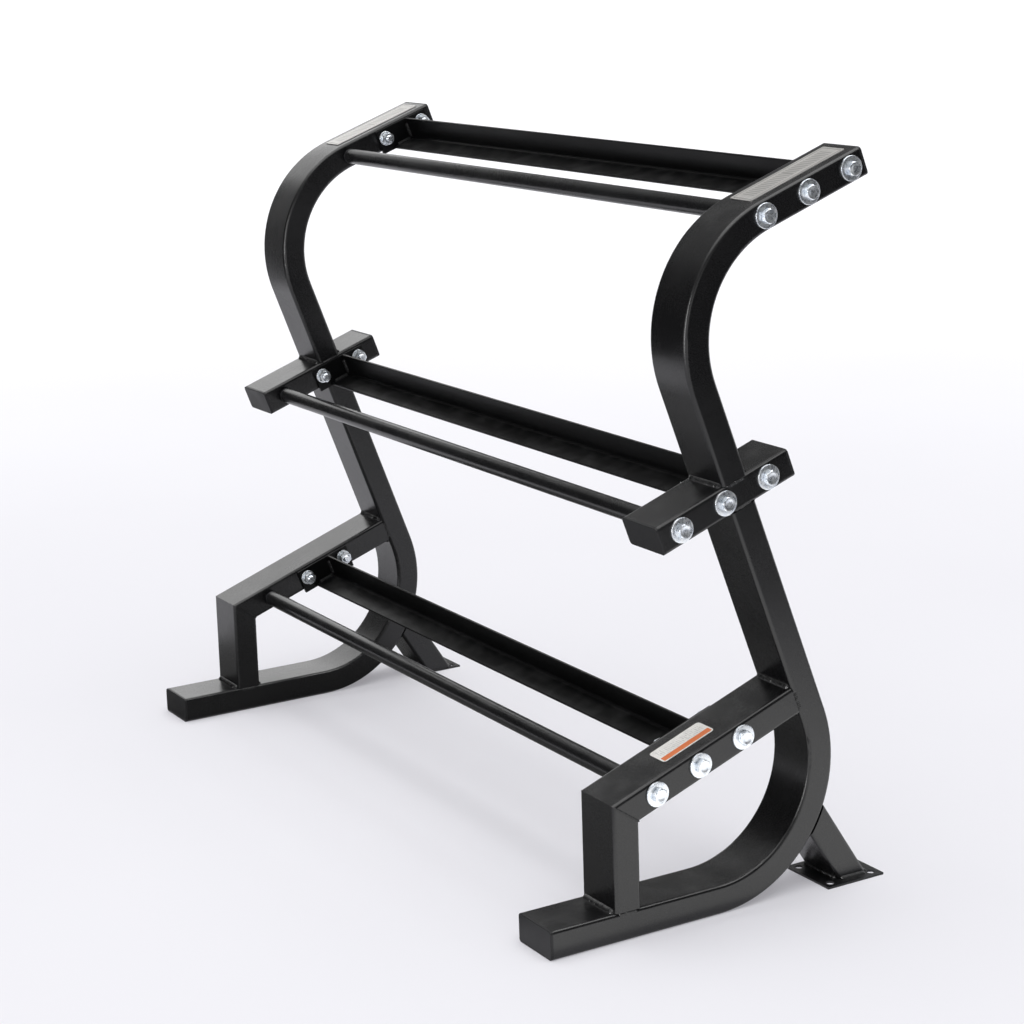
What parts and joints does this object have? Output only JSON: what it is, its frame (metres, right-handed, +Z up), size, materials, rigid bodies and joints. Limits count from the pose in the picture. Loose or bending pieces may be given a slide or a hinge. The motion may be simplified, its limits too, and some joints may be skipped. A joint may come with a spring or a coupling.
{
  "type": "dumbbell rack",
  "caption": "Free-standing tiered rack of bent rectangular tube with sloping arms, round front rails and angle back rails for holding dumbbells.",
  "frame": {"origin": "on the floor, in the middle of the rack's width and depth", "axes": "+X along the rails, +Y to the back of the rack, +Z up"},
  "size_m": [1.278, 0.528, 1.0019],
  "materials": {
    "frame_paint": "satin black powder coat",
    "round_rail_paint": "semi-gloss black powder coat",
    "angle_rail_paint": "satin black powder coat",
    "cap_plastic": "fine moulded grain",
    "zinc_hardware": "bright zinc plating",
    "plug_steel": "black",
    "badge_foil": "satin silver plate",
    "label_film": "plain printed film"
  },
  "bodies": {
    "root": {"arm_label": "label_film", "left_back_rail_bolts": "zinc_hardware", "left_badge": "badge_foil", "left_bolt_washers": "zinc_hardware", "left_foot_cap": "cap_plastic", "left_foot_plate": "frame_paint", "left_front_post": "frame_paint", "left_front_rail_bolts": "zinc_hardware", "left_lower_arm": "frame_paint", "left_lower_end_plate": "angle_rail_paint", "left_lower_rail_plug": "plug_steel", "left_lower_upright": "frame_paint", "left_middle_arm": "frame_paint", "left_middle_arm_back_cap": "cap_plastic", "left_middle_arm_front_cap": "cap_plastic", "left_middle_end_plate": "angle_rail_paint", "left_middle_rail_plug": "plug_steel", "left_nut_washers": "zinc_hardware", "left_nuts": "zinc_hardware", "left_rear_brace": "frame_paint", "left_top_arm_cap": "cap_plastic", "left_top_end_plate": "angle_rail_paint", "left_top_rail_plug": "plug_steel", "left_upper_upright": "frame_paint", "lower_back_rail": "angle_rail_paint", "lower_front_rail": "round_rail_paint", "middle_back_rail": "angle_rail_paint", "middle_front_rail": "round_rail_paint", "right_back_rail_bolts": "zinc_hardware", "right_badge": "badge_foil", "right_bolt_washers": "zinc_hardware", "right_foot_cap": "cap_plastic", "right_foot_plate": "frame_paint", "right_front_post": "frame_paint", "right_front_rail_bolts": "zinc_hardware", "right_lower_arm": "frame_paint", "right_lower_end_plate": "angle_rail_paint", "right_lower_rail_plug": "plug_steel", "right_lower_upright": "frame_paint", "right_middle_arm": "frame_paint", "right_middle_arm_back_cap": "cap_plastic", "right_middle_arm_front_cap": "cap_plastic", "right_middle_end_plate": "angle_rail_paint", "right_middle_rail_plug": "plug_steel", "right_nut_washers": "zinc_hardware", "right_nuts": "zinc_hardware", "right_rear_brace": "frame_paint", "right_top_arm_cap": "cap_plastic", "right_top_end_plate": "angle_rail_paint", "right_top_rail_plug": "plug_steel", "right_upper_upright": "frame_paint", "top_back_rail": "angle_rail_paint", "top_front_rail": "round_rail_paint"}
  },
  "joints": []
}
